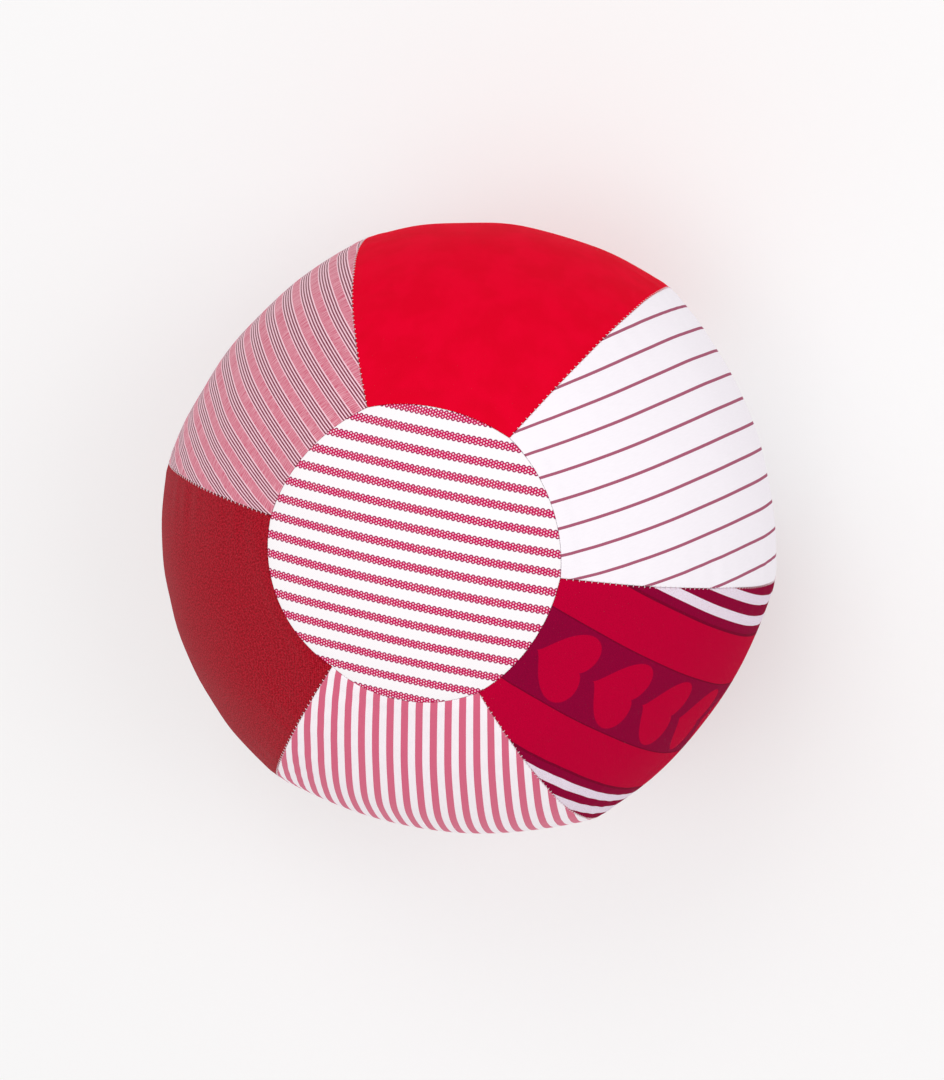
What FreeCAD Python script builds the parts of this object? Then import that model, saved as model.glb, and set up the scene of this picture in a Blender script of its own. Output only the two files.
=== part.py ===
import FreeCAD, Part
import os
from math import asin, atan2, cos, degrees, hypot, pi, radians, sin, sqrt
from FreeCAD import Vector

# A large, light juggling and catching ball: a patchwork cloth cover over a blown-up balloon.
# The cover is six cloth gores round an axis, closed by a round cap at each end. The front cap
# (at +Z) is one disc. The rear cap (at -Z) is two halves with a mouth between them, through
# which the balloon goes in. A round tongue of the over half covers the mouth and folds back.
# Millimetres and degrees. +Z is the ball's axis, and the ball stands on the middle of its rear
# cap, with the origin there.

# Pattern: every gore is cut for a ball of this radius, which is the unit of the ratios below.
PATTERN_RADIUS = 125.0
CLOTH = 0.7
SEAM_GAP = 0.5

# Seams, anticlockwise from the seam between the fine-striped gore and the denim gore. The cover
# is sewn by hand, so the seams are a few degrees off sixty and stand out by different amounts.
SEAM_AZIMUTHS = (166.0, 233.5, 295.0, 351.0, 410.0, 468.0)
SEAM_RADII = (1.011, 1.029, 1.035, 1.014, 1.025, 1.010)
GORE_NAMES = ("red_denim", "ticking_stripe", "heart_towel",
              "white_pinstripe", "plain_red", "fine_stripe")

# The gores' middles, and how much more or less than that each one swells at the equator.
GORE_RADIUS = 0.997
GORE_SWELLS = (0.021, -0.001, -0.001, -0.008, 0.006, -0.015)

# Meridians. A seam is one round arc. A gore's middle is a round arc that runs on straight to
# the cap's edge, because the cap holds it there.
SEAM_ARC = 0.991
SEAM_ARC_END = 65.3
GORE_ARC = 0.986
GORE_ARC_END = 52.7
CAP_RADIUS = 0.438

# Caps: the front one domes, and the rear one is nearly flat where the ball stands on it.
FRONT_POLE = 0.995
FRONT_DOME_POWER = 2.2
REAR_POLE = 0.952
REAR_DOME_POWER = 5.0
REST_FLAT_DEPTH = 0.05

# Mouth and flap on the rear cap. The fold runs along Y at FOLD_X.
FOLD_X = 14.0
FOLD_GAP = 1.0
FLAP_RADIUS = 46.0
MOUTH_HALF_LENGTH = 36.0
MOUTH_WIDTH = 20.0
LAYER_GAP = 0.15
UNDER_STEP_START = -34.0
UNDER_STEP_END = -46.0

# Thread.
THREAD_WIDTH = 0.2
THREAD_DEPTH = 0.3
THREAD_SINK = 0.12
HEM_WIDTH = 5.5
HEM_STITCH_WIDTH = 0.5
HEM_STITCH_HEIGHT = 0.1
HEM_STITCH_GAP = 0.02
TACK_LENGTH = 7.0

# Balloon.
LATEX = 0.4
BALLOON_EQUATOR = 0.955
BALLOON_SHOULDER_RADIUS = 0.41
BALLOON_SHOULDER_HEIGHT = 0.885
BALLOON_FRONT = 0.965
BALLOON_REAR = 0.932
DIMPLE_RADIUS = 34.0
DIMPLE_DEPTH = 15.0
KNOT_RADIUS = 5.0
NECK_RADIUS = 3.2
TAIL_LENGTH = 20.0
TAIL_WIDTH = 15.0
TAIL_THICKNESS = 3.0
LIP_THICKNESS = 4.2

# How finely the surfaces are sampled before they are made into smooth faces.
ACROSS = 13
ALONG = 33
CAP_GRID = 31
CAP_GRID_REACH = 1.1
STRIP_POINTS = 25
STEP = 0.002
SLOPE_STEP = 0.5

CENTRE_HEIGHT = REAR_POLE * PATTERN_RADIUS
SEAMS = len(SEAM_AZIMUTHS)


def polar(radius, azimuth, height):
    """A point from its distance to the axis, its direction in degrees and its height."""
    angle = radians(azimuth)
    return Vector(radius * cos(angle), radius * sin(angle), height)


def spread(count, low, high):
    """Evenly spaced values from low to high."""
    return [low + (high - low) * i / (count - 1) for i in range(count)]


def seam_azimuth(index):
    """Azimuth of a seam, carrying on past a full turn after the last one."""
    return SEAM_AZIMUTHS[index % SEAMS] + 360.0 * (index // SEAMS)


def seam_point(index, along):
    """A point on a seam, along from -1 at the rear cap to 1 at the front cap."""
    angle = radians(along * SEAM_ARC_END)
    radius = SEAM_RADII[index % SEAMS] - SEAM_ARC * (1.0 - cos(angle))
    return polar(radius * PATTERN_RADIUS, seam_azimuth(index),
                 SEAM_ARC * sin(angle) * PATTERN_RADIUS)


def gore_middle(gore, along):
    """A point on a gore's middle line, along from -1 at the rear cap to 1 at the front cap."""
    end = radians(GORE_ARC_END)
    arc_end = GORE_RADIUS - GORE_ARC * (1.0 - cos(end))
    straight = (arc_end - CAP_RADIUS) / sin(end)
    run = abs(along) * (GORE_ARC * end + straight)
    if run <= GORE_ARC * end:
        angle = run / GORE_ARC
        radius = GORE_RADIUS - GORE_ARC * (1.0 - cos(angle))
        height = GORE_ARC * sin(angle)
    else:
        past = run - GORE_ARC * end
        radius = arc_end - past * sin(end)
        height = GORE_ARC * sin(end) + past * cos(end)
    if along < 0.0:
        height = -height
    radius += GORE_SWELLS[gore] * cos(along * pi / 2.0)
    azimuth = (seam_azimuth(gore) + seam_azimuth(gore + 1)) / 2.0
    return polar(radius * PATTERN_RADIUS, azimuth, height * PATTERN_RADIUS)


def gore_point(gore, across, along):
    """A point on a gore's outside: the round arc from one seam over its middle to the next."""
    first = seam_point(gore, along)
    last = seam_point(gore + 1, along)
    centre = (first + last) * 0.5
    half = (last - first) * 0.5
    side = Vector(half).normalize()
    rise = gore_middle(gore, along) - centre
    rise = rise - side * rise.dot(side)
    sagitta = rise.Length
    radius = (half.Length ** 2 + sagitta ** 2) / (2.0 * sagitta)
    angle = asin(half.Length / radius) * across
    up = Vector(rise).normalize()
    return centre + side * (radius * sin(angle)) + up * (sagitta - radius + radius * cos(angle))


def gore_normal(gore, across, along):
    """The gore's outward normal."""
    low = max(along - STEP, -1.0)
    high = min(along + STEP, 1.0)
    over = gore_point(gore, across + STEP, along) - gore_point(gore, across - STEP, along)
    up = gore_point(gore, across, high) - gore_point(gore, across, low)
    return over.cross(up).normalize()


def turn_at(azimuth):
    """How many gores round the ball a direction lies, counted from the first seam."""
    azimuth = SEAM_AZIMUTHS[0] + (azimuth - SEAM_AZIMUTHS[0]) % 360.0
    gore = 0
    while azimuth > seam_azimuth(gore + 1):
        gore += 1
    return gore + (azimuth - seam_azimuth(gore)) / (seam_azimuth(gore + 1) - seam_azimuth(gore))


def cap_height(x, y, end):
    """Height of a cap's outside. Its edge dips a little towards each seam."""
    high = gore_middle(0, 1.0).z
    low = seam_point(0, 1.0).z
    turn = turn_at(degrees(atan2(y, x)))
    edge = (high + low) / 2.0 - (high - low) / 2.0 * cos(2.0 * pi * turn)
    if end > 0:
        pole = FRONT_POLE * PATTERN_RADIUS
        power = FRONT_DOME_POWER
    else:
        pole = REAR_POLE * PATTERN_RADIUS
        power = REAR_DOME_POWER
    share = hypot(x, y) / (CAP_RADIUS * PATTERN_RADIUS)
    if share < 1.0:
        drop = share ** power
    else:
        drop = 1.0 + power * (share - 1.0)
    return end * (pole + (edge - pole) * drop)


def smooth_face(rows):
    """A smooth surface through a grid of points."""
    surface = Part.BSplineSurface()
    surface.interpolate(rows)
    return surface


def closed_sheet(outer_rows, inner_rows):
    """A closed solid between two grids of points that have the same layout."""
    outer = smooth_face(outer_rows)
    inner = smooth_face(inner_rows)
    faces = [outer.toShape(), inner.toShape()]
    first_u, last_u, first_v, last_v = outer.bounds()
    for value in (first_u, last_u):
        faces.append(Part.makeRuledSurface(outer.uIso(value).toShape(), inner.uIso(value).toShape()))
    for value in (first_v, last_v):
        faces.append(Part.makeRuledSurface(outer.vIso(value).toShape(), inner.vIso(value).toShape()))
    shell = Part.makeShell(faces)
    shell.sewShape()
    solid = Part.makeSolid(shell)
    if solid.Volume < 0.0:
        solid.reverse()
    return solid


def gore_solid(gore):
    """One gore, held back from the seams by half the seam gap on every side."""
    middle_length = 2.0 * PATTERN_RADIUS * GORE_ARC * radians(SEAM_ARC_END)
    end_inset = SEAM_GAP / middle_length
    outer = []
    inner = []
    for along in spread(ALONG, end_inset - 1.0, 1.0 - end_inset):
        chord = (seam_point(gore, along) - seam_point(gore + 1, along)).Length
        side_inset = SEAM_GAP / chord
        outer_row = []
        inner_row = []
        for across in spread(ACROSS, side_inset - 1.0, 1.0 - side_inset):
            point = gore_point(gore, across, along)
            outer_row.append(point)
            inner_row.append(point - gore_normal(gore, across, along) * CLOTH)
        outer.append(outer_row)
        inner.append(inner_row)
    return closed_sheet(outer, inner)


def no_step(x):
    """A cap layer that lies at the cover's outside all over."""
    return 0.0


def under_step(x):
    """How deep the under half lies at x: one layer down beneath the flap, level beyond it."""
    share = (x - UNDER_STEP_END) / (UNDER_STEP_START - UNDER_STEP_END)
    share = min(max(share, 0.0), 1.0)
    return (CLOTH + LAYER_GAP) * share * share * (3.0 - 2.0 * share)


def upright_prism(wire):
    """A prism along the axis that cuts right through the ball."""
    prism = Part.Face(wire).extrude(Vector(0, 0, 3.0 * PATTERN_RADIUS))
    prism.translate(Vector(0, 0, -1.5 * PATTERN_RADIUS))
    return prism


def cap_outline():
    """The round outline of a cap, held back from its seam by half the seam gap."""
    inset = 1.0 - SEAM_GAP / 2.0 / (CAP_RADIUS * PATTERN_RADIUS)
    arcs = []
    for gore in range(SEAMS):
        places = [gore_point(gore, across, 1.0) * inset for across in (-1.0, 0.0, 1.0)]
        flat = [Vector(place.x, place.y, 0.0) for place in places]
        arcs.append(Part.Arc(*flat).toShape())
    return Part.Wire(arcs)


def cap_solid(end, step):
    """A whole cap of cloth. step gives how far inward the cloth lies at each x."""
    reach = CAP_GRID_REACH * CAP_RADIUS * PATTERN_RADIUS
    outer = []
    inner = []
    for x in spread(CAP_GRID, -reach, reach):
        outer_row = []
        inner_row = []
        for y in spread(CAP_GRID, -reach, reach):
            point = Vector(x, y, cap_height(x, y, end) - end * step(x))
            outer_row.append(point)
            inner_row.append(point - Vector(0, 0, end * CLOTH))
        outer.append(outer_row)
        inner.append(inner_row)
    return closed_sheet(outer, inner).common(upright_prism(cap_outline()))


def slab(low_x, high_x):
    """A block across the whole rear cap from one x to another."""
    wide = PATTERN_RADIUS
    corners = (Vector(low_x, -wide, 0), Vector(high_x, -wide, 0), Vector(high_x, wide, 0),
               Vector(low_x, wide, 0), Vector(low_x, -wide, 0))
    return upright_prism(Part.makePolygon(corners))


def bowed_outline(root_x, half_length, far_x):
    """A straight side along Y at root_x, closed by the round arc through far_x."""
    start = Vector(root_x, -half_length, 0)
    end = Vector(root_x, half_length, 0)
    arc = Part.Arc(start, Vector(far_x, 0, 0), end).toShape()
    return Part.Wire([arc, Part.makeLine(end, start)])


def largest(shape):
    """The largest solid of a cut."""
    return sorted(shape.Solids, key=lambda solid: solid.Volume)[-1]


def pressed_flat(shape):
    """What is left of a piece of the rear cap above the plane that the ball stands on."""
    floor = Part.makeBox(2.0 * PATTERN_RADIUS, 2.0 * PATTERN_RADIUS, PATTERN_RADIUS)
    floor.translate(Vector(-PATTERN_RADIUS, -PATTERN_RADIUS,
                           -CENTRE_HEIGHT - PATTERN_RADIUS + REST_FLAT_DEPTH))
    return largest(shape.cut(floor))


def rear_over_half():
    """The half of the rear cap that carries the flap."""
    return pressed_flat(cap_solid(-1, no_step).common(slab(FOLD_X + FOLD_GAP / 2.0, PATTERN_RADIUS)))


def rear_under_half():
    """The other half, scooped out to make the mouth and one layer down beneath the flap."""
    half = cap_solid(-1, under_step).common(slab(-PATTERN_RADIUS, FOLD_X))
    mouth = upright_prism(bowed_outline(FOLD_X + 1.0, MOUTH_HALF_LENGTH, FOLD_X - MOUTH_WIDTH))
    return largest(half.cut(mouth))


def opening_flap():
    """The round tongue over the mouth."""
    root = FOLD_X - FOLD_GAP / 2.0
    outline = upright_prism(bowed_outline(root, FLAP_RADIUS, root - FLAP_RADIUS))
    return pressed_flat(cap_solid(-1, no_step).common(outline))


def strip(points, normals, width, top, bottom):
    """A thin strip along a line of points, from top to bottom below the points."""
    corners = [[], [], [], []]
    last = len(points) - 1
    for i, point in enumerate(points):
        ahead = points[min(i + 1, last)] - points[max(i - 1, 0)]
        side = normals[i].cross(ahead).normalize() * (width / 2.0)
        high = point - normals[i] * top
        low = point - normals[i] * bottom
        for line, corner in zip(corners, (high - side, high + side, low + side, low - side)):
            line.append(corner)
    edges = []
    for line in corners:
        curve = Part.BSplineCurve()
        curve.interpolate(line)
        edges.append(curve.toShape())
    faces = [Part.makeRuledSurface(edges[i], edges[(i + 1) % 4]) for i in range(4)]
    for i in (0, last):
        ends = [line[i] for line in corners]
        faces.append(Part.Face(Part.makePolygon(ends + [ends[0]])))
    shell = Part.makeShell(faces)
    shell.sewShape()
    solid = Part.makeSolid(shell)
    if solid.Volume < 0.0:
        solid.reverse()
    return solid


def seam_thread(index):
    """The line of stitches that joins two gores, sunk between their edges."""
    edge = 1.0 - SEAM_GAP / PATTERN_RADIUS
    places = spread(STRIP_POINTS, -edge, edge)
    points = [seam_point(index, along) for along in places]
    hub = polar((SEAM_RADII[index] - SEAM_ARC) * PATTERN_RADIUS, seam_azimuth(index), 0.0)
    normals = [(point - hub).normalize() for point in points]
    return strip(points, normals, THREAD_WIDTH, THREAD_SINK, THREAD_SINK + THREAD_DEPTH)


def cap_seam_thread(end):
    """The stitches round a cap, one run of them along the end of each gore."""
    runs = []
    for gore in range(SEAMS):
        points = []
        normals = []
        for across in spread(STRIP_POINTS, -0.99, 0.99):
            point = gore_point(gore, across, float(end))
            outward = gore_normal(gore, across, float(end)) + Vector(0, 0, 1.6 * end)
            points.append(point)
            normals.append(outward.normalize())
        runs.append(strip(points, normals, THREAD_WIDTH, THREAD_SINK, THREAD_SINK + THREAD_DEPTH))
    return Part.makeCompound(runs)


def rear_surface(x, y, depth):
    """A point on the rear cap's outside, moved inward by depth."""
    return Vector(x, y, cap_height(x, y, -1) + depth)


def rear_normal(x, y):
    """The rear cap's outward direction."""
    over = cap_height(x + SLOPE_STEP, y, -1) - cap_height(x - SLOPE_STEP, y, -1)
    along = cap_height(x, y + SLOPE_STEP, -1) - cap_height(x, y - SLOPE_STEP, -1)
    return Vector(over, along, -2.0 * SLOPE_STEP).normalize()


def arc_places(root_x, half_length, far_x, inset, trim):
    """Places along a bowed edge, moved in from it, without the last bit at each end."""
    sagitta = root_x - far_x
    radius = (half_length ** 2 + sagitta ** 2) / (2.0 * sagitta)
    centre_x = far_x + radius
    reach = radius + inset
    limit = asin(min(half_length / radius, 1.0)) - trim / radius
    return [(centre_x - reach * cos(angle), reach * sin(angle))
            for angle in spread(STRIP_POINTS, -limit, limit)]


def flap_hem_stitching():
    """The row that holds the flap's hem, on the outside of the cloth."""
    root = FOLD_X - FOLD_GAP / 2.0
    places = arc_places(root, FLAP_RADIUS, root - FLAP_RADIUS, -HEM_WIDTH, 2.0 * HEM_WIDTH)
    points = [rear_surface(x, y, 0.0) for x, y in places]
    normals = [rear_normal(x, y) for x, y in places]
    return strip(points, normals, HEM_STITCH_WIDTH, -HEM_STITCH_HEIGHT, -HEM_STITCH_GAP)


def mouth_hem_stitching():
    """The row that holds the hem of the mouth, on the inside of the under half."""
    places = arc_places(FOLD_X + 1.0, MOUTH_HALF_LENGTH, FOLD_X - MOUTH_WIDTH, HEM_WIDTH, 12.0)
    points = [rear_surface(x, y, under_step(x) + CLOTH) for x, y in places]
    normals = [-rear_normal(x, y) for x, y in places]
    return strip(points, normals, HEM_STITCH_WIDTH, -HEM_STITCH_HEIGHT, -HEM_STITCH_GAP)


def mouth_corner_tacks():
    """The two bar tacks that close the join between the halves beside the mouth."""
    tacks = []
    for side in (-1.0, 1.0):
        middle = side * (MOUTH_HALF_LENGTH + FLAP_RADIUS + TACK_LENGTH) / 2.0
        places = spread(5, middle - TACK_LENGTH / 2.0, middle + TACK_LENGTH / 2.0)
        points = [rear_surface(FOLD_X + FOLD_GAP / 4.0, y, 0.0) for y in places]
        normals = [Vector(0, 0, -1)] * len(points)
        tacks.append(strip(points, normals, THREAD_WIDTH, THREAD_SINK, CLOTH))
    return Part.makeCompound(tacks)


def balloon_side(wall):
    """The balloon's half outline, from the front to the bottom of its dimple, moved in by wall."""
    unit = PATTERN_RADIUS
    equator = Vector(BALLOON_EQUATOR * unit - wall, 0, 0)
    shoulder_x = BALLOON_SHOULDER_RADIUS * unit - wall
    shoulder_z = BALLOON_SHOULDER_HEIGHT * unit - wall
    # A round side through both shoulders, with its centre level with the equator.
    hub = (equator.x ** 2 - shoulder_x ** 2 - shoulder_z ** 2) / (2.0 * (equator.x - shoulder_x))
    reach = equator.x - hub
    front = Vector(0, 0, BALLOON_FRONT * unit - wall)
    front_shoulder = Vector(shoulder_x, 0, shoulder_z)
    rear_shoulder = Vector(shoulder_x, 0, -shoulder_z)
    rear = wall - BALLOON_REAR * unit
    dimple_rim = Vector(DIMPLE_RADIUS - wall, 0, rear)
    dimple_bottom = Vector(0, 0, rear + DIMPLE_DEPTH)
    upper_middle = Vector(hub + reach * cos(pi / 6), 0, reach * sin(pi / 6))
    lower_middle = Vector(upper_middle.x, 0, -upper_middle.z)
    front_middle = Vector(shoulder_x / 2.0, 0, shoulder_z + 0.72 * (front.z - shoulder_z))
    rear_middle = Vector((shoulder_x + dimple_rim.x) / 2.0, 0, rear + 0.25 * (-shoulder_z - rear))
    bowl = (dimple_rim.x ** 2 + DIMPLE_DEPTH ** 2) / (2.0 * DIMPLE_DEPTH)
    bowl_x = dimple_rim.x / 2.0
    bowl_z = dimple_bottom.z - bowl + sqrt(bowl ** 2 - bowl_x ** 2)
    return [Part.Arc(front, front_middle, front_shoulder).toShape(),
            Part.Arc(front_shoulder, upper_middle, equator).toShape(),
            Part.Arc(equator, lower_middle, rear_shoulder).toShape(),
            Part.Arc(rear_shoulder, rear_middle, dimple_rim).toShape(),
            Part.Arc(dimple_rim, Vector(bowl_x, 0, bowl_z), dimple_bottom).toShape(),
            Part.makeLine(dimple_bottom, front)]


def balloon_skin():
    """The blown-up balloon: a thin hollow skin with a dimple round its neck."""
    outside = Part.Face(Part.Wire(balloon_side(0.0))).revolve(Vector(), Vector(0, 0, 1), 360)
    inside = Part.Face(Part.Wire(balloon_side(LATEX))).revolve(Vector(), Vector(0, 0, 1), 360)
    return largest(outside.cut(inside))


def oval(x, width, thickness, centre):
    """An oval outline across X, for the flattened tail of the neck."""
    ellipse = Part.Ellipse(Vector(0, 0, 0), width / 2.0, thickness / 2.0)
    wire = Part.Wire(ellipse.toShape())
    wire.rotate(Vector(), Vector(1, 0, 0), 90.0)
    wire.translate(Vector(0, x, centre))
    return wire


def balloon_neck():
    """The tied neck in the dimple: a short stub, the knot, and the flat tail with its lip."""
    floor = -BALLOON_REAR * PATTERN_RADIUS + DIMPLE_DEPTH
    level = floor - 0.9 * KNOT_RADIUS - 1.2
    knot = Part.makeSphere(KNOT_RADIUS, Vector(0, 0, level))
    stub = Part.makeCone(1.4 * NECK_RADIUS, NECK_RADIUS, 4.0, Vector(0, 0, floor - 0.02),
                         Vector(0, 0, -1))
    start = -0.8 * KNOT_RADIUS
    end = -KNOT_RADIUS - TAIL_LENGTH
    sections = [oval(start, 1.6 * NECK_RADIUS, 1.5 * NECK_RADIUS, level),
                oval((start + end) / 2.0, 0.75 * TAIL_WIDTH, TAIL_THICKNESS, level - 1.2),
                oval(end, TAIL_WIDTH, TAIL_THICKNESS, level - 2.4)]
    tail = Part.makeLoft(sections, True)
    lip_sections = [oval(end + 0.4, TAIL_WIDTH + 1.0, LIP_THICKNESS, level - 2.4),
                    oval(end - 1.8, TAIL_WIDTH + 1.0, LIP_THICKNESS, level - 2.6)]
    lip = Part.makeLoft(lip_sections, True)
    return largest(knot.fuse([stub, tail, lip]))


def save(name, shape):
    """Stand the part on z = 0 and write it."""
    shape.translate(Vector(0, 0, CENTRE_HEIGHT - REST_FLAT_DEPTH))
    shape.exportStep("parts/" + name + ".step")
    box = shape.BoundBox
    print(name, "valid", shape.isValid(), "solids", len(shape.Solids),
          "volume", round(shape.Volume, 1), "z", round(box.ZMin, 2), round(box.ZMax, 2))


def main():
    """Make every piece and write one file for each."""
    os.makedirs("parts", exist_ok=True)
    save("front_cap", cap_solid(1, no_step))
    for gore, name in enumerate(GORE_NAMES):
        save("gore_" + name, gore_solid(gore))
    save("rear_cap_over_half", rear_over_half())
    save("rear_cap_under_half", rear_under_half())
    save("opening_flap", opening_flap())
    for index in range(SEAMS):
        pair = GORE_NAMES[index - 1] + "_to_" + GORE_NAMES[index]
        save("seam_thread_" + pair, seam_thread(index))
    save("front_cap_seam_thread", cap_seam_thread(1))
    save("rear_cap_seam_thread", cap_seam_thread(-1))
    save("flap_hem_stitching", flap_hem_stitching())
    save("mouth_hem_stitching", mouth_hem_stitching())
    save("mouth_corner_tacks", mouth_corner_tacks())
    save("balloon_skin", balloon_skin())
    save("balloon_neck_knot", balloon_neck())


main()
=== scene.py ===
import math
import bpy
import numpy as np
from mathutils import Matrix, Vector


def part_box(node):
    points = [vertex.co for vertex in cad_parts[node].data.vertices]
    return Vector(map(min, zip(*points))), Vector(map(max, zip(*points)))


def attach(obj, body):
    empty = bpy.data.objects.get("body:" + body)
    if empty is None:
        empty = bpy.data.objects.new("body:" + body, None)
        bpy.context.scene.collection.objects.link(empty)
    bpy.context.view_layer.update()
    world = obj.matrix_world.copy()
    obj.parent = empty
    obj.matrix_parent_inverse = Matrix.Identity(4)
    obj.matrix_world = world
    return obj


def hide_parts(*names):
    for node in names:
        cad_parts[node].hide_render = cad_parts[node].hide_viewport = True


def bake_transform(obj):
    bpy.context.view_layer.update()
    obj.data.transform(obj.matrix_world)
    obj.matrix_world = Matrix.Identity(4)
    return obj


# The looks of a patchwork balloon ball: six gores and two end caps of different cloths, sewn
# over a balloon, with a flapped mouth in the rear cap. Metres, except that a length written
# with MM after it is in millimetres, and the cloth patterns below are laid out in millimetres.

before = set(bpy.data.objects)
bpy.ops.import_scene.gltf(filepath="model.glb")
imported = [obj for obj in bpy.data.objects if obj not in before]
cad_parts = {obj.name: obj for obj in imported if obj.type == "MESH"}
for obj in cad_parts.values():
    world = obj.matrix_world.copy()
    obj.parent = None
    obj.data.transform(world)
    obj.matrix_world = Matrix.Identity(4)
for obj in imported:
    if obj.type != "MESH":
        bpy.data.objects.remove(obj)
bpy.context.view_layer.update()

MM = 0.001
TURN = 2.0 * math.pi

# The ball's pattern, the same as the CAD model's. Ratios are of UNIT.
UNIT = 125.0 * MM
SEAM_AZIMUTHS = np.radians((166.0, 233.5, 295.0, 351.0, 410.0, 468.0))
SEAM_RADII = (1.011, 1.029, 1.035, 1.014, 1.025, 1.010)
GORE_NAMES = ("red_denim", "ticking_stripe", "heart_towel",
              "white_pinstripe", "plain_red", "fine_stripe")
SEAMS = len(SEAM_AZIMUTHS)
GORE_RADIUS = 0.997
GORE_SWELLS = (0.021, -0.001, -0.001, -0.008, 0.006, -0.015)
SEAM_ARC = 0.991
SEAM_ARC_END = math.radians(65.3)
FRONT_ARC_ENDS = np.radians((64.2, 67.2, 65.7, 65.1, 65.4, 64.0))
GORE_ARC = 0.986
GORE_ARC_END = math.radians(52.7)
CAP_RADIUS = 0.438
FRONT_POLE = 0.995
FRONT_DOME_POWER = 2.2
REAR_POLE = 0.952
REAR_DOME_POWER = 5.0
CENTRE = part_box("front_cap")[1].z - FRONT_POLE * UNIT

# Mouth and flap.
FOLD_X = 14.0 * MM
FLAP_RADIUS = 46.0 * MM
MOUTH_HALF_LENGTH = 36.0 * MM
MOUTH_WIDTH = 20.0 * MM
UNDER_STEP = 0.85 * MM
UNDER_STEP_START = -34.0 * MM
UNDER_STEP_END = -46.0 * MM
UNDER_HUB_X = -22.0 * MM
FLAP_ROOT_ANGLE = math.radians(88.7)
UNDERLAP = 1.5 * MM
UNDER_CLOTH_TURN = math.radians(14.0)

# Cloth and its sewn edges.
CLOTH = 0.45 * MM
CAP_CLOTH = 0.3 * MM
HALF_GAP = 0.05 * MM
ROLL = 0.45 * MM
FLANGE = 0.8 * MM
ALLOWANCE = 7.5 * MM
RIDGE = 0.18 * MM
RIDGE_WIDTH = 7.5 * MM
HEM = 5.5 * MM
HEM_FOLD = 0.35 * MM
SEAM_WANDER = 0.8 * MM
PUCKER = 0.16 * MM
PUCKER_REACH = 6.0 * MM
SIDE_PUCKERS = (31.0, 47.0, 71.0, 89.0)
END_PUCKERS = (5.0, 9.0, 14.0, 20.0)
CAP_PUCKERS = (28.3, 44.0, 62.8, 87.9)
BILLOW = 0.22 * MM
BILLOW_WAVES = 7
BILLOW_SPREAD = 2.6
BILLOW_LENGTHS = (22.0, 60.0)
STITCH = 2.5 * MM
STITCHES = 113
ROWS_PER_STITCH = 4
DRAW_IN = 0.2 * MM
DRAW_REACH = 0.9 * MM

# First seeds of the random draws. A gore's or a seam's own number is added to most of them.
WANDER_SEED = 20
FIRST_SIDE_SEED = 100
LAST_SIDE_SEED = 200
END_SEED = 300
BILLOW_SEED = 400
CAP_PUCKER_SEED = 500
CAP_BILLOW_SEED = 501
SLANT_SEED = 600

# The step along and across a gore that its outward directions are measured over.
STEP = 0.002

# How much wider the cloth is stretched at the equator than at the caps.
FANS = (0.08, 0.08, 0.05, 0.10, 0.08, 0.075)

# How finely the sheets are divided.
GORE_COLUMNS = 40
GORE_EVEN_SHARE = 0.45
CAP_RINGS = 44
RING_SPACING_POWER = 1.4
CAP_COLUMNS = 504
REAR_COLUMNS = 480
FOLD_CROWDING = 0.25
SEAM_POINTS_PER_GORE = 60


# ---- The ball's surfaces -------------------------------------------------------------------

def polar(radius, azimuth, height):
    """Points from their distance to the axis, their direction and their height."""
    parts = np.broadcast_arrays(radius * np.cos(azimuth), radius * np.sin(azimuth), height)
    return np.stack(parts, axis=-1)


def unit(vectors):
    """The vectors, each of length 1."""
    return vectors / np.linalg.norm(vectors, axis=-1, keepdims=True)


def dot(a, b):
    """Dot products along the last axis, kept as a column."""
    return (a * b).sum(axis=-1, keepdims=True)


def seam_azimuth(index):
    """Azimuth of a seam, carrying on past a full turn after the last one."""
    return SEAM_AZIMUTHS[index % SEAMS] + TURN * (index // SEAMS)


def seam_wander(index, along):
    """How far a hand-sewn seam strays sideways, the same for the two gores that meet there."""
    draws = np.random.default_rng(WANDER_SEED + index % SEAMS)
    total = np.zeros_like(along)
    for waves in (2, 3, 5, 8):
        size, phase = draws.uniform(-1.0, 1.0), draws.uniform(0.0, TURN)
        total = total + size / waves * np.sin(waves * math.pi * along + phase)
    return SEAM_WANDER * total * (1.0 - along ** 2)


def seam_point(index, along):
    """Points on a seam, along from -1 at the rear cap to 1 at the front cap."""
    angle = along * np.where(along > 0.0, FRONT_ARC_ENDS[index % SEAMS], SEAM_ARC_END)
    radius = (SEAM_RADII[index % SEAMS] - SEAM_ARC * (1.0 - np.cos(angle))) * UNIT
    azimuth = seam_azimuth(index) + seam_wander(index, along) / radius
    return polar(radius, azimuth, SEAM_ARC * np.sin(angle) * UNIT)


def seam_normal(index, along):
    """The outward direction at a seam."""
    hub = polar((SEAM_RADII[index % SEAMS] - SEAM_ARC) * UNIT, seam_azimuth(index), 0.0)
    return unit(seam_point(index, along) - hub)


ARC_FOOT = GORE_RADIUS - GORE_ARC * (1.0 - math.cos(GORE_ARC_END))
STRAIGHT = (ARC_FOOT - CAP_RADIUS) / math.sin(GORE_ARC_END)
GORE_RUN = (GORE_ARC * GORE_ARC_END + STRAIGHT) * UNIT


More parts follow.
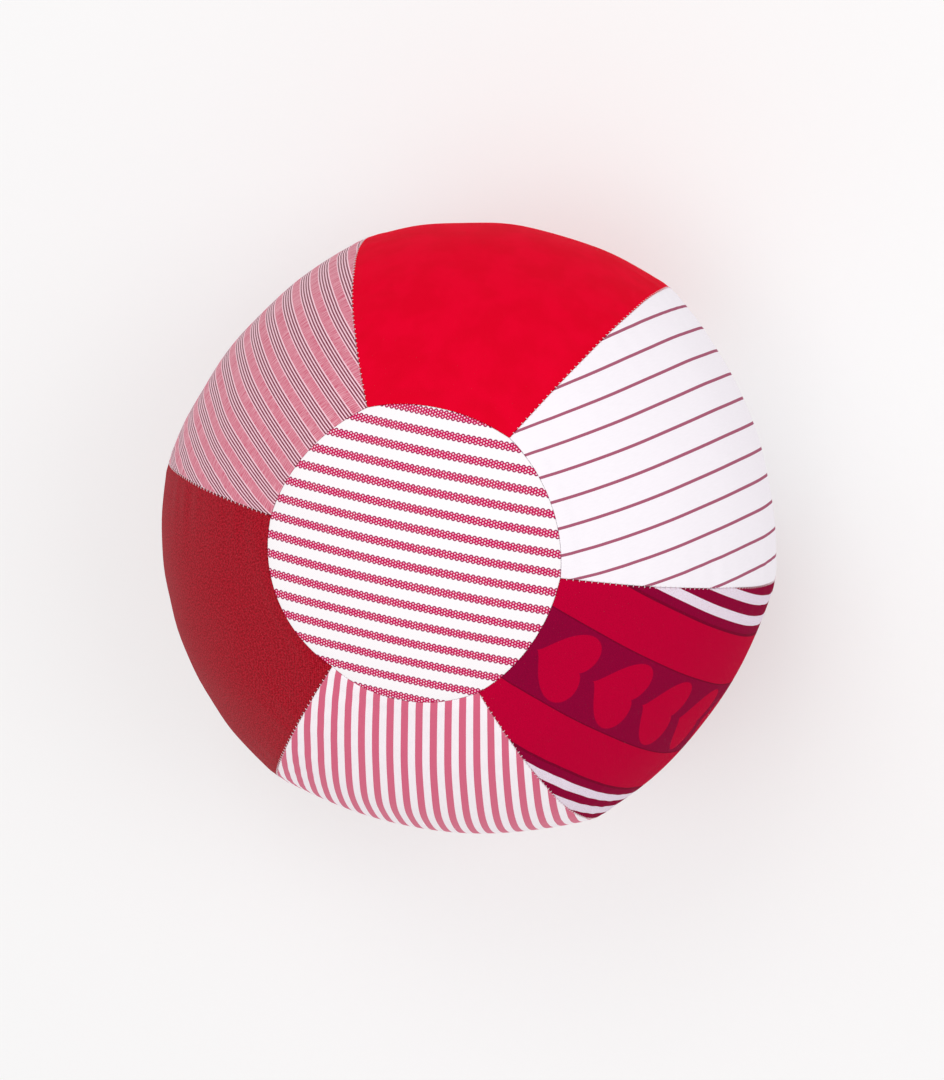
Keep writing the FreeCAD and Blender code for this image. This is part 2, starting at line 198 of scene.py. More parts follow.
def gore_middle(gore, along):
    """Points on a gore's middle line: a round arc that runs on straight to the cap's edge."""
    run = np.abs(along) * GORE_RUN / UNIT
    angle = np.minimum(run / GORE_ARC, GORE_ARC_END)
    past = np.maximum(run - GORE_ARC * GORE_ARC_END, 0.0)
    radius = GORE_RADIUS - GORE_ARC * (1.0 - np.cos(angle)) - past * math.sin(GORE_ARC_END)
    radius = radius + GORE_SWELLS[gore] * np.cos(along * math.pi / 2.0)
    height = (GORE_ARC * np.sin(angle) + past * math.cos(GORE_ARC_END)) * np.sign(along)
    azimuth = (seam_azimuth(gore) + seam_azimuth(gore + 1)) / 2.0
    return polar(radius * UNIT, azimuth, height * UNIT)


def gore_arc(gore, along):
    """The round arc across a gore: chord centre, side and up directions, radius, half angle."""
    first, last = seam_point(gore, along), seam_point(gore + 1, along)
    centre, half = (first + last) / 2.0, (last - first) / 2.0
    side = unit(half)
    rise = gore_middle(gore, along) - centre
    rise = rise - side * dot(rise, side)
    sagitta = np.linalg.norm(rise, axis=-1, keepdims=True)
    chord = np.linalg.norm(half, axis=-1, keepdims=True)
    radius = (chord ** 2 + sagitta ** 2) / (2.0 * sagitta)
    centre = centre + unit(rise) * (sagitta - radius)
    return centre, side, unit(rise), radius, np.arcsin(chord / radius)


def gore_half_width(gore, along):
    """Half the cloth's width across a gore."""
    radius, half_angle = gore_arc(gore, along)[3:]
    return (radius * half_angle)[..., 0]


def gore_point(gore, across, along):
    """Points on a gore's outside: the round arc from one seam over its middle to the next."""
    centre, side, up, radius, half_angle = gore_arc(gore, along)
    angle = half_angle * across[..., None]
    return centre + radius * (side * np.sin(angle) + up * np.cos(angle))


def gore_normal(gore, across, along):
    """The gore's outward directions."""
    low, high = np.maximum(along - STEP, -1.0), np.minimum(along + STEP, 1.0)
    over = gore_point(gore, across + STEP, along) - gore_point(gore, across - STEP, along)
    up = gore_point(gore, across, high) - gore_point(gore, across, low)
    return unit(np.cross(over, up))


RIM_UPWARD = 1.6


def rim_normal(normals, along):
    """The outward direction at a cap's seam, between the gore's and the cap's."""
    upward = np.sign(along)[..., None] * np.array((0.0, 0.0, RIM_UPWARD))
    return unit(normals + upward)


def ring_table(end):
    """A cap's seam all round: azimuth, distance to the axis, height, and outward direction."""
    across = np.linspace(-1.0, 1.0, SEAM_POINTS_PER_GORE + 1)[:-1]
    along = np.full_like(across, end)
    azimuths, radii, heights, normals = [], [], [], []
    for gore in range(SEAMS):
        points = gore_point(gore, across, along)
        normals.append(rim_normal(gore_normal(gore, across, along), along))
        azimuths.append(np.arctan2(points[:, 1], points[:, 0]))
        radii.append(np.hypot(points[:, 0], points[:, 1]))
        heights.append(points[:, 2])
    azimuths = np.concatenate(azimuths)
    order = np.argsort(azimuths)
    table = (azimuths, np.concatenate(radii), np.concatenate(heights), np.concatenate(normals))
    return [column[order] for column in table]


RINGS = {end: ring_table(end) for end in (1, -1)}


def round_ring(azimuth, end, column):
    """A column of a ring table at any azimuth."""
    return np.interp(azimuth, RINGS[end][0], column, period=TURN)


def ring_radius(azimuth, end):
    """A cap seam's distance to the axis."""
    return round_ring(azimuth, end, RINGS[end][1])


def ring_height(azimuth, end):
    """A cap seam's height above the ball's centre."""
    return round_ring(azimuth, end, RINGS[end][2])


def ring_normal(azimuth, end):
    """The outward direction at a cap's seam."""
    parts = [round_ring(azimuth, end, RINGS[end][3][:, axis]) for axis in range(3)]
    return unit(np.stack(parts, axis=-1))


def cap_height(x, y, end):
    """Height of a cap's outside above the ball's centre."""
    azimuth = np.arctan2(y, x)
    pole, power = (FRONT_POLE, FRONT_DOME_POWER) if end > 0 else (REAR_POLE, REAR_DOME_POWER)
    pole = end * pole * UNIT
    share = np.hypot(x, y) / ring_radius(azimuth, end)
    return pole + (ring_height(azimuth, end) - pole) * share ** power


RAY_ROUNDS = 30
LEAST_SLOPE = 0.3


def ray_to_ring(hub_x, angle):
    """How far the rear cap's seam is from the point (hub_x, 0), in each direction."""
    reach = np.full_like(angle, CAP_RADIUS * UNIT)
    for _ in range(RAY_ROUNDS):
        x, y = hub_x + reach * np.cos(angle), reach * np.sin(angle)
        away = np.hypot(x, y)
        slope = (x * np.cos(angle) + y * np.sin(angle)) / away
        reach = reach + (ring_radius(np.arctan2(y, x), -1) - away) / np.maximum(slope, LEAST_SLOPE)
    return reach


# ---- Meshes --------------------------------------------------------------------------------

def grid_quads(rows, columns, wrap):
    """Corner numbers of a grid's faces. With wrap, the last column joins the first."""
    row = np.arange(rows - 1)[:, None] * columns
    column = np.arange(columns if wrap else columns - 1)[None, :]
    beside = (column + 1) % columns
    corners = (row + column, row + beside, row + columns + beside, row + columns + column)
    return np.stack(corners, axis=-1).reshape(-1, 4)


def make_object(name, points, faces, cloth=None):
    """A smooth mesh object. cloth gives each point's place on the flat cloth, in millimetres."""
    mesh = bpy.data.meshes.new(name)
    mesh.from_pydata(points.reshape(-1, 3).tolist(), [], [list(face) for face in faces])
    mesh.shade_smooth()
    if cloth is not None:
        flat = np.zeros((len(mesh.vertices), 3), np.float32)
        flat[:, :2] = cloth.reshape(-1, 2) / MM
        mesh.attributes.new("cloth", "FLOAT_VECTOR", "POINT").data.foreach_set("vector", flat.ravel())
    made = bpy.data.objects.new(name, mesh)
    bpy.context.scene.collection.objects.link(made)
    return made


def thicken(piece, thickness):
    """Gives a sheet its thickness, on the inside."""
    solidify = piece.modifiers.new("thickness", "SOLIDIFY")
    solidify.thickness = thickness
    solidify.offset = -1.0
    solidify.use_even_offset = False


def turned_edge():
    """A sewn edge, from the end of its turned-in allowance: distances from the seam and depths."""
    angles = np.radians((90.0, 67.5, 45.0, 22.5, 0.0))
    distance = np.concatenate(((HALF_GAP, HALF_GAP), HALF_GAP + ROLL * (1.0 - np.sin(angles))))
    depth = np.concatenate(((ROLL + FLANGE, ROLL + FLANGE / 2.0), ROLL * (1.0 - np.cos(angles))))
    return distance, depth


def hemmed_edge():
    """A hem folded flat to the inside, from its raw edge: distances from the fold and depths."""
    angles = np.radians((90.0, 45.0, 0.0, -45.0, -90.0))
    distance = np.concatenate(((HEM, HEM / 2.0), HEM_FOLD * (1.0 - np.cos(angles))))
    depth = np.concatenate(((2.0 * HEM_FOLD, 2.0 * HEM_FOLD), HEM_FOLD * (1.0 + np.sin(angles))))
    return distance, depth


def ridge(distance):
    """How far the allowances underneath lift the cloth beside a seam."""
    share = np.clip((distance - HALF_GAP - ROLL) / RIDGE_WIDTH, 0.0, 1.0)
    return RIDGE * np.sin(math.pi * share) ** 2


def ripple(seed, place, waves):
    """Uneven waves along a line, place from -1 to 1, of size about 1."""
    draws = np.random.default_rng(seed)
    total = np.zeros_like(place)
    for count in waves:
        total = total + draws.uniform(0.3, 1.0) * np.sin(count * place + draws.uniform(0.0, TURN))
    return total / math.sqrt(len(waves))


def pucker(waves, gap):
    """Small puckers that waves gives, highest a little way in from a seam."""
    return PUCKER * waves * (gap / PUCKER_REACH) * np.exp(1.0 - gap / PUCKER_REACH)


def billow(seed, x, y):
    """A gentle unevenness all over a taut cloth."""
    draws = np.random.default_rng(seed)
    total = np.zeros_like(x)
    for _ in range(BILLOW_WAVES):
        heading, length = draws.uniform(0.0, TURN), draws.uniform(*BILLOW_LENGTHS) * MM
        phase = draws.uniform(0.0, TURN)
        total = total + np.sin(TURN * (x * math.cos(heading) + y * math.sin(heading)) / length + phase)
    return BILLOW * total / BILLOW_SPREAD


def gore_rows():
    """Places along a gore, several to a stitch between turned-in ends, and their depths."""
    distance, depth = turned_edge()
    end = 1.0 - distance / GORE_RUN
    places = np.linspace(-1.0, 1.0, ROWS_PER_STITCH * STITCHES + 1)
    middle = places[np.abs(places) < end[-1] - 0.5 / STITCHES / ROWS_PER_STITCH]
    return (np.concatenate((-end, middle, end[::-1])),
            np.concatenate((depth, np.zeros(len(middle)), depth[::-1])))


def gore_columns(half_width):
    """Places across a gore, closer together near its seams, and their depths."""
    distance, depth = turned_edge()
    edge = 1.0 - distance[None, :] / half_width[:, None]
    even = np.linspace(-1.0, 1.0, GORE_COLUMNS + 2)[1:-1]
    crowded = np.sin(math.pi / 2.0 * even)
    spread = GORE_EVEN_SHARE * even + (1.0 - GORE_EVEN_SHARE) * crowded
    middle = spread[None, :] * edge[:, -1:]
    return (np.concatenate((-edge, middle, edge[:, ::-1]), axis=1),
            np.concatenate((depth, np.zeros(GORE_COLUMNS), depth[::-1])))


def near_seam_direction(gore, across, along, side_gap, end_gap):
    """Outward directions that turn into the seam's own direction beside each seam."""
    side_share = np.exp(-(side_gap / (2.0 * ROLL)) ** 2)[..., None]
    end_share = np.exp(-(end_gap / (2.0 * ROLL)) ** 2)[..., None]
    normals = gore_normal(gore, across, along)
    beside = np.where(across[..., None] < 0.0, seam_normal(gore, along), seam_normal(gore + 1, along))
    mixed = unit(normals * (1.0 - side_share) + beside * side_share)
    return unit(mixed * (1.0 - end_share) + rim_normal(normals, along) * end_share)


def stitch_pull(along, gap):
    """How far each stitch draws a gore's edge in."""
    beat = 0.5 + 0.5 * np.cos(math.pi * STITCHES * (along + 1.0))
    return DRAW_IN * beat ** 2 * np.exp(-(gap / DRAW_REACH) ** 2)


def gore_lift(gore, across, along, x, y, side_gap, end_gap):
    """How far a gore's cloth stands off its plain surface: allowances, puckers and billows."""
    lift = np.maximum(ridge(side_gap), ridge(end_gap)) - stitch_pull(along, side_gap)
    first = ripple(FIRST_SIDE_SEED + gore, along, SIDE_PUCKERS)
    last = ripple(LAST_SIDE_SEED + gore, along, SIDE_PUCKERS)
    ends = ripple(END_SEED + gore, across, END_PUCKERS)
    lift = lift + pucker(np.where(across < 0.0, first, last), side_gap) + pucker(ends, end_gap)
    calm = 1.0 - np.exp(-np.minimum(side_gap, end_gap) / (2.0 * PUCKER_REACH))
    return lift + billow(BILLOW_SEED + gore, x, y) * calm


def gore_sheet(gore):
    """One gore of cloth with its edges turned in at the seams."""
    row, row_depth = gore_rows()
    half_width = gore_half_width(gore, row)
    across, column_depth = gore_columns(half_width)
    along = np.broadcast_to(row[:, None], across.shape)
    x = across * half_width[:, None]
    y = along * GORE_RUN
    side_gap = (1.0 - np.abs(across)) * half_width[:, None]
    end_gap = (1.0 - np.abs(along)) * GORE_RUN
    turned = (row_depth[:, None] ** 4 + column_depth[None, :] ** 4) ** 0.25
    lift = gore_lift(gore, across, along, x, y, side_gap, end_gap) - turned
    outward = near_seam_direction(gore, across, along, side_gap, end_gap)
    points = gore_point(gore, across, along) + outward * lift[..., None]
    points[..., 2] += CENTRE
    faces = grid_quads(*across.shape, False)
    cloth = np.stack((x * (1.0 + FANS[gore] * along ** 2), y), axis=-1)
    piece = make_object(GORE_NAMES[gore] + "_gore", points, faces, cloth)
    thicken(piece, CLOTH)
    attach(piece, "cover")
    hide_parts("gore_" + GORE_NAMES[gore])
    area = 2.0 * GORE_RUN * float(np.mean(2.0 * (half_width + ALLOWANCE)))
    flat = (2.0 * (float(half_width.max()) + ALLOWANCE), 2.0 * (GORE_RUN + ALLOWANCE))
    return piece


def disc_points(hub_x, angle, reach, edges):
    """Rings of points from a hub out to a rim. edges gives each column's edge distances.
    Returns x, y and the distance to the rim, innermost ring first."""
    inner = np.linspace(0.0, 1.0, CAP_RINGS)[1:] ** RING_SPACING_POWER
    gaps = [reach - (reach - edges[-1]) * share for share in inner]
    gap = np.concatenate((np.array(gaps), edges[::-1][1:]))
    run = reach - gap
    return hub_x + run * np.cos(angle), run * np.sin(angle), gap


def disc_faces(rings, columns):
    """Faces of rings of points closed at the hub by a fan round one more point, the last."""
    hub = rings * columns
    column = np.arange(columns)
    fan = np.stack((np.full(columns, hub), column, (column + 1) % columns), axis=-1)
    return fan.tolist() + grid_quads(rings, columns, True)[:, ::-1].tolist()


def cap_object(name, x, y, z, hub_x, cloth_turn, flip):
    """A cap's cloth from rings of points round a hub. flip turns its outside downwards."""
    hub = (hub_x, 0.0, float(z[0].mean()))
    points = np.concatenate((np.stack((x, y, z), axis=-1).reshape(-1, 3), [hub]))
    along, aside = math.cos(cloth_turn), math.sin(cloth_turn)
    cloth = points[:, :2] @ np.array(((along, aside), (-aside, along)))
    faces = disc_faces(*x.shape)
    if flip:
        faces = [face[::-1] for face in faces]
    return make_object(name, points, faces, cloth)


def in_rings(distance, depth):
    """A column of edge distances, and the depths of the rings that they make."""
    rings = np.concatenate((np.zeros(CAP_RINGS - 1), depth[::-1][1:]))
    return distance[:, None], rings[:, None]


def front_cap_sheet():
    """The front cap, a plain disc sewn in all round."""
    angle = np.linspace(0.0, TURN, CAP_COLUMNS + 1)[:-1]
    distance, depth = turned_edge()
    edges, rings = in_rings(distance, depth)
    edges = np.broadcast_to(edges, (len(distance), len(angle)))
    x, y, gap = disc_points(0.0, angle, ring_radius(angle, 1), edges)
    waves = ripple(CAP_PUCKER_SEED, angle[None, :] / math.pi - 1.0, CAP_PUCKERS)
    calm = 1.0 - np.exp(-gap / (2.0 * PUCKER_REACH))
    lift = ridge(gap) + pucker(waves, gap) + billow(CAP_BILLOW_SEED, x, y) * calm
    normals = ring_normal(angle, 1)[None, :, :]
    shift = (lift - rings)[..., None] * np.where(gap[..., None] < 2.0 * ROLL, normals, (0.0, 0.0, 1.0))
    z = CENTRE + cap_height(x, y, 1) + shift[..., 2]
    x, y = x + shift[..., 0], y + shift[..., 1]
    piece = cap_object("front_cap_disc", x, y, z, 0.0, 0.0, False)
    thicken(piece, CLOTH)
    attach(piece, "cover")
    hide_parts("front_cap")
    return piece


def rear_sheet(name, hub_x, angle, reach, turned, step, cloth_turn):
    """A part of the rear cap. turned is where its edge is sewn in, and elsewhere it is hemmed.
    step gives how far inward it lies at each x. It is pressed flat where the ball stands.
    cloth_turn is how far round its cloth's stripes are turned."""
    sewn, sewn_depth = turned_edge()
    hem, hem_depth = hemmed_edge()
    edges = np.where(turned[None, :], sewn[:, None], hem[:, None])
    depth = np.where(turned[None, :], sewn_depth[:, None], hem_depth[:, None])
    depth = np.concatenate((np.zeros((CAP_RINGS - 1, len(angle))), depth[::-1][1:]))
    x, y, gap = disc_points(hub_x, angle, reach, edges)
    direction = ring_normal(np.arctan2(y, x), -1)
    direction[~np.broadcast_to(turned[None, :], x.shape)] = (0.0, 0.0, -1.0)
    direction[gap > 2.0 * ROLL] = (0.0, 0.0, -1.0)
    z = CENTRE + cap_height(x, y, -1) + step(x)
    shift = direction * -depth[..., None]
    z = np.maximum(z, 0.0) + shift[..., 2]
    return cap_object(name, x + shift[..., 0], y + shift[..., 1], z, hub_x, cloth_turn, True)


def under_step(x):
    """How deep the under half lies: one layer down beneath the flap, level beyond it."""
    share = np.clip((x - UNDER_STEP_END) / (UNDER_STEP_START - UNDER_STEP_END), 0.0, 1.0)
    return UNDER_STEP * share * share * (3.0 - 2.0 * share)


def no_step(x):
    """A sheet that lies at the cover's outside all over."""
    return np.zeros_like(x)


def flap_sheet():
    """The half of the rear cap that carries the flap, and the flap itself, in one sheet. The
    columns are closer together along the fold, where it bends."""
    even = np.linspace(-math.pi, math.pi, REAR_COLUMNS + 1)[:-1] + math.pi / REAR_COLUMNS
    angle = even + FOLD_CROWDING * np.sin(2.0 * even)
    sewn = np.abs(angle) < FLAP_ROOT_ANGLE
    reach = np.where(sewn, ray_to_ring(FOLD_X, angle), FLAP_RADIUS)
    piece = rear_sheet("rear_cap_and_flap", FOLD_X, angle, reach, sewn, no_step, 0.0)
    thicken(piece, CAP_CLOTH)
    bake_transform(piece)
    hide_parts("rear_cap_over_half", "opening_flap")
    return piece


def mouth_reach(angle):
    """How far the mouth's scooped edge and the straight join beside it are from the hub."""
    sagitta = MOUTH_WIDTH + MM
    radius = (MOUTH_HALF_LENGTH ** 2 + sagitta ** 2) / (2.0 * sagitta)
    centre_x = FOLD_X - MOUTH_WIDTH + radius - UNDER_HUB_X
    forward = np.cos(angle)
    inside = np.maximum(radius ** 2 - (centre_x * np.sin(angle)) ** 2, 0.0)
    scoop = centre_x * forward - np.sqrt(inside)
    join = (FOLD_X + UNDERLAP - UNDER_HUB_X) / np.maximum(forward, 1e-3)
    scooped = (np.abs(join * np.sin(angle)) < MOUTH_HALF_LENGTH) & (forward > 0.0)
    return np.where(scooped, scoop, join)


def under_sheet():
    """The half of the rear cap beneath the flap, scooped out and hemmed at the mouth."""
    angle = np.linspace(-math.pi, math.pi, REAR_COLUMNS + 1)[:-1]
    to_ring = ray_to_ring(UNDER_HUB_X, angle)
    to_mouth = mouth_reach(angle)
    sewn = to_ring < to_mouth
    reach = np.minimum(to_ring, to_mouth)
    piece = rear_sheet("rear_cap_under_mouth", UNDER_HUB_X, angle, reach, sewn, under_step,
                       UNDER_CLOTH_TURN)
    thicken(piece, CAP_CLOTH)
    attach(piece, "cover")
    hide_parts("rear_cap_under_half")
    return piece


# ---- Stitches ------------------------------------------------------------------------------

THREAD_SIDES = 6
THREAD_STEPS = 7
STITCH_SIZES = (0.88, 1.12)

# Each kind of stitch in millimetres: half its length, how high its thread arches, how far the
# thread dives in at both ends, and the thread's radius.
SEAM_STITCH = (0.55, 0.12, 0.45, 0.16)
CAP_STITCH = (0.35, 0.1, 0.3, 0.16)
HEM_STITCH = (0.9, 0.1, 0.45, 0.2)
TACK_STITCH = (1.2, 0.1, 0.35, 0.16)

# How far each row lies beneath the cloth's outside.
SEAM_STITCH_DEPTH = 0.14 * MM
CAP_STITCH_DEPTH = 0.6 * MM
FLAP_HEM_DEPTH = 0.08 * MM
MOUTH_HEM_DEPTH = UNDER_STEP + 0.05 * MM
TACK_DEPTH = 0.05 * MM

# How far the seam stitches slant, and how unevenly.
SLANT = 0.12
SLANT_SPREAD = 0.1

# The hem rows' own place, span and number, and the bar tacks'.
HEM_ROW_INSET = HEM - MM
FLAP_HEM_HALF_SPAN = math.radians(78.0)
MOUTH_HEM_HALF_SPAN = math.radians(38.0)
MOUTH_HEM_STITCHES = 24
TACK_THREADS = np.arange(-10, 11)
TACK_PITCH = 0.36 * MM
TACK_FROM_FOLD = 2.4 * MM


def thread_arches(name, centres, reach, lift, stitch):
    """A row of separate stitches of that kind. At each centre a thread arches along reach and
    dives into the cloth at both ends."""
    half_length, crown, sink, radius = (size * MM for size in stitch)
    t = np.linspace(-1.0, 1.0, THREAD_STEPS)[None, :, None]
    draws = np.random.default_rng(len(name))
    size = draws.uniform(*STITCH_SIZES, (len(centres), 1, 1))
    reach, lift = reach[:, None, :] * half_length * size, lift[:, None, :]
    line = centres[:, None, :] + reach * t + lift * (crown * (1.0 - t ** 2) - sink * t ** 6)
    tangent = unit(reach + lift * (-2.0 * crown * t - 6.0 * sink * t ** 5))
    side = unit(np.cross(reach, lift))
    up = np.cross(side, tangent)
    turn = np.linspace(0.0, TURN, THREAD_SIDES + 1)[:-1][None, None, :, None]
    ring = side[:, :, None, :] * np.cos(turn) + up[:, :, None, :] * np.sin(turn)
    points = line[:, :, None, :] + ring * radius
    single = grid_quads(THREAD_STEPS, THREAD_SIDES, True)
    start = np.arange(THREAD_SIDES)
    last = start[::-1] + (THREAD_STEPS - 1) * THREAD_SIDES
    faces = []
    for stitch in range(len(centres)):
        first = stitch * THREAD_STEPS * THREAD_SIDES
        faces += (single[:, ::-1] + first).tolist()
        faces += [(start + first).tolist(), (last + first).tolist()]
    flat = np.zeros(points.shape[:-1] + (2,))
    flat[..., 0] = np.broadcast_to(turn[..., 0], flat.shape[:-1]) * radius
    flat[..., 1] = np.broadcast_to(t, flat.shape[:-1]) * half_length
    return make_object(name, points, faces, flat)


def seam_stitches(index):
    """The ladder of stitches that joins two gores."""
    along = -1.0 + 2.0 * (np.arange(1, STITCHES)) / STITCHES
    centres = seam_point(index, along)
    tangent = unit(seam_point(index, along + STEP) - seam_point(index, along - STEP))
    lift = seam_normal(index, along)
    across = unit(np.cross(tangent, lift))
    slant = np.random.default_rng(SLANT_SEED + index).normal(SLANT, SLANT_SPREAD, (len(along), 1))
    centres = centres - lift * SEAM_STITCH_DEPTH + np.array((0.0, 0.0, CENTRE))
    pair = GORE_NAMES[index - 1] + "_to_" + GORE_NAMES[index]
    reach = unit(across + tangent * slant)
    piece = thread_arches("stitches_" + pair, centres, reach, lift, SEAM_STITCH)
    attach(piece, "cover")
    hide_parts("seam_thread_" + pair)
    return piece


def cap_stitches(end):
    """The stitches round a cap, which lie deeper in their seam than the gores' do."""
    count = int(TURN * CAP_RADIUS * UNIT / STITCH)
    angle = np.linspace(0.0, TURN, count + 1)[:-1]
    centres = polar(ring_radius(angle, end), angle, ring_height(angle, end))
    lift = ring_normal(angle, end)
    tangent = polar(1.0, angle + math.pi / 2.0, 0.0)
    reach = unit(np.cross(tangent, lift))
    centres = centres - lift * CAP_STITCH_DEPTH + np.array((0.0, 0.0, CENTRE))
    name = "front_cap_seam_thread" if end > 0 else "rear_cap_seam_thread"
    stitches = "stitches_" + name.removesuffix("_seam_thread")
    piece = thread_arches(stitches, centres, reach, lift, CAP_STITCH)
    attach(piece, "cover")
    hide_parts(name)
    return piece


def rear_points(x, y, depth):
    """Points on the rear cap's outside, moved inward by depth."""
    z = np.maximum(CENTRE + cap_height(x, y, -1), 0.0) + depth
    return np.stack((x, y, z), axis=-1)


def hem_row(name, x, y, depth, node, body):
    """A row of hem stitches end to end along the cloth."""
    centres = rear_points(x, y, depth)
    reach = unit(np.gradient(centres, axis=0))
    lift = np.broadcast_to(np.array((0.0, 0.0, -1.0)), centres.shape)
    piece = thread_arches(name, centres, reach, lift, HEM_STITCH)
    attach(piece, body)
    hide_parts(node)
    return piece


def flap_hem_row():
    """The row that holds the flap's hem."""
    radius = FLAP_RADIUS - HEM_ROW_INSET
    limit = FLAP_HEM_HALF_SPAN
    angle = math.pi + np.linspace(-limit, limit, int(2.0 * limit * radius / STITCH))
    x, y = FOLD_X + radius * np.cos(angle), radius * np.sin(angle)
    return hem_row("flap_hem_stitches", x, y, FLAP_HEM_DEPTH, "flap_hem_stitching", "flap")


def mouth_hem_row():
    """The row that holds the hem of the mouth, on the under half."""
    angle = np.linspace(-MOUTH_HEM_HALF_SPAN, MOUTH_HEM_HALF_SPAN, MOUTH_HEM_STITCHES)
    reach = mouth_reach(angle) - HEM_ROW_INSET
    x, y = UNDER_HUB_X + reach * np.cos(angle), reach * np.sin(angle)
    return hem_row("mouth_hem_stitches", x, y, MOUTH_HEM_DEPTH, "mouth_hem_stitching", "cover")


def corner_tacks():
    """Two bar tacks beside the fold, at the corners of the mouth."""
    places = TACK_THREADS * TACK_PITCH
    middle = (MOUTH_HALF_LENGTH + FLAP_RADIUS) / 2.0
    y = np.concatenate((places - middle, places + middle))
    x = np.full_like(y, FOLD_X + TACK_FROM_FOLD)
    centres = rear_points(x, y, TACK_DEPTH)
    lift = np.broadcast_to(np.array((0.0, 0.0, -1.0)), centres.shape)
    reach = np.broadcast_to(np.array((1.0, 0.0, 0.0)), centres.shape)
    piece = thread_arches("corner_tack_stitches", centres, reach, lift, TACK_STITCH)
    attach(piece, "cover")
    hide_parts("mouth_corner_tacks")
    return piece


# ---- Material building ---------------------------------------------------------------------

def linear(red, green, blue):
    """A display colour, 0 to 255, as the linear colour that a shader takes."""
    shares = [part / 255.0 for part in (red, green, blue)]
    return tuple(s / 12.92 if s <= 0.04045 else ((s + 0.055) / 1.055) ** 2.4 for s in shares)


class Term:
    """A number in a material's node tree. Arithmetic on it adds Math nodes."""

    def __init__(self, tree, socket):
        self.tree = tree
        self.socket = socket

    def math(self, operation, *others):
        """One Math node with this number as its first input."""
        node = self.tree.nodes.new("ShaderNodeMath")
        node.operation = operation
        for place, value in zip(node.inputs, (self,) + others):
            if isinstance(value, Term):
                self.tree.links.new(value.socket, place)
            else:
                place.default_value = value
        return Term(self.tree, node.outputs[0])

    def __add__(self, other):
        return self.math("ADD", other)

    def __sub__(self, other):
        return self.math("SUBTRACT", other)

    def __mul__(self, other):
        return self.math("MULTIPLY", other)

    def __truediv__(self, other):
        return self.math("DIVIDE", other)

    def fract(self):
        """The part after the decimal point, from 0 to 1 for negative numbers too."""
        return self.math("FRACT")

    def size(self):
        """The number without its sign."""
        return self.math("ABSOLUTE")

    def wave(self, period):
        """A sine wave of that period."""
        return (self * (TURN / period)).math("SINE")

    def centred(self, period):
        """The signed distance to the nearest multiple of period."""
        return ((self / period + 0.5).fract() - 0.5) * period

    def rise(self, low, high):
        """0 up to low, 1 from high, smooth between."""
        node = self.tree.nodes.new("ShaderNodeMapRange")
        node.interpolation_type = "SMOOTHSTEP"
        self.tree.links.new(self.socket, node.inputs["Value"])
        node.inputs["From Min"].default_value = low
        node.inputs["From Max"].default_value = high
        return Term(self.tree, node.outputs["Result"])


def length_of(x, y):
    """The distance of (x, y) from the origin."""
    return (x * x + y * y).math("SQRT")


# A Mix node's sockets for colours. They share their names with those for numbers and vectors.
MIX_FACTOR = 0
MIX_FIRST = 6
MIX_LAST = 7
MIX_RESULT = 2


def mix(tree, share, first, last):
    """A blend of two colours, each a colour or a socket."""
    node = tree.nodes.new("ShaderNodeMix")
    node.data_type = "RGBA"
    tree.links.new(share.socket, node.inputs[MIX_FACTOR])
    for number, colour in ((MIX_FIRST, first), (MIX_LAST, last)):
        if isinstance(colour, tuple):
            node.inputs[number].default_value = colour + (1.0,)
        else:
            tree.links.new(colour, node.inputs[number])
    return node.outputs[MIX_RESULT]


def shade(tree, colour, share):
    """A colour made darker or lighter by a number about 1."""
    node = tree.nodes.new("ShaderNodeVectorMath")
    node.operation = "SCALE"
    tree.links.new(colour, node.inputs[0])
    tree.links.new(share.socket, node.inputs["Scale"])
    return node.outputs[0]


def stripes(tree, place, period, bands):
    """Colours in bands across one period. bands lists (start in millimetres, colour)."""
    node = tree.nodes.new("ShaderNodeValToRGB")
    ramp = node.color_ramp
    ramp.interpolation = "CONSTANT"
    while len(ramp.elements) < len(bands):
        ramp.elements.new(1.0)
    for element, (start, colour) in zip(ramp.elements, bands):
        element.position = start / period
        element.color = colour + (1.0,)
    tree.links.new((place / period).fract().socket, node.inputs["Fac"])
    return node.outputs["Color"]


class Cloth:
    """What a fabric's pattern is drawn with: the tree and the place on the flat cloth, in mm."""

    def __init__(self, tree):
        self.tree = tree
        place = tree.nodes.new("ShaderNodeAttribute")
        place.attribute_name = "cloth"
        split = tree.nodes.new("ShaderNodeSeparateXYZ")
        tree.links.new(place.outputs["Vector"], split.inputs[0])
        self.x = Term(tree, split.outputs["X"])
        self.y = Term(tree, split.outputs["Y"])

    def noise(self, across, along, detail=2.0):
        """Noise with grains of that size across and along the cloth, from 0 to 1."""
        joined = self.tree.nodes.new("ShaderNodeCombineXYZ")
        self.tree.links.new((self.x / across).socket, joined.inputs["X"])
        self.tree.links.new((self.y / along).socket, joined.inputs["Y"])
        node = self.tree.nodes.new("ShaderNodeTexNoise")
        node.noise_dimensions = "2D"
        node.inputs["Scale"].default_value = 1.0
        node.inputs["Detail"].default_value = detail
        self.tree.links.new(joined.outputs[0], node.inputs["Vector"])
        return Term(self.tree, node.outputs[0])

    def plain_weave(self, pitch):
        """Height of a plain weave of threads, pitch apart."""
        checks = self.x.wave(2.0 * pitch) * self.y.wave(2.0 * pitch)
        return checks * 0.5 + 0.5

    def from_thread(self, start, bend, curl):
        """Distance across the cloth from a thread line that bends on its way to the front cap."""
        run = self.y * (MM / GORE_RUN)
        share = run * run
        return self.x - (share * curl + bend) * share - start

    def twill(self, pitch):
        """Height of diagonal ridges, pitch apart across the cloth."""
        return (self.x + self.y).wave(pitch) * 0.5 + 0.5


def new_material(name):
    """A new material, its node tree and its shader."""
    material = bpy.data.materials.new(name)
    material.use_nodes = True
    return material, material.node_tree, material.node_tree.nodes["Principled BSDF"]


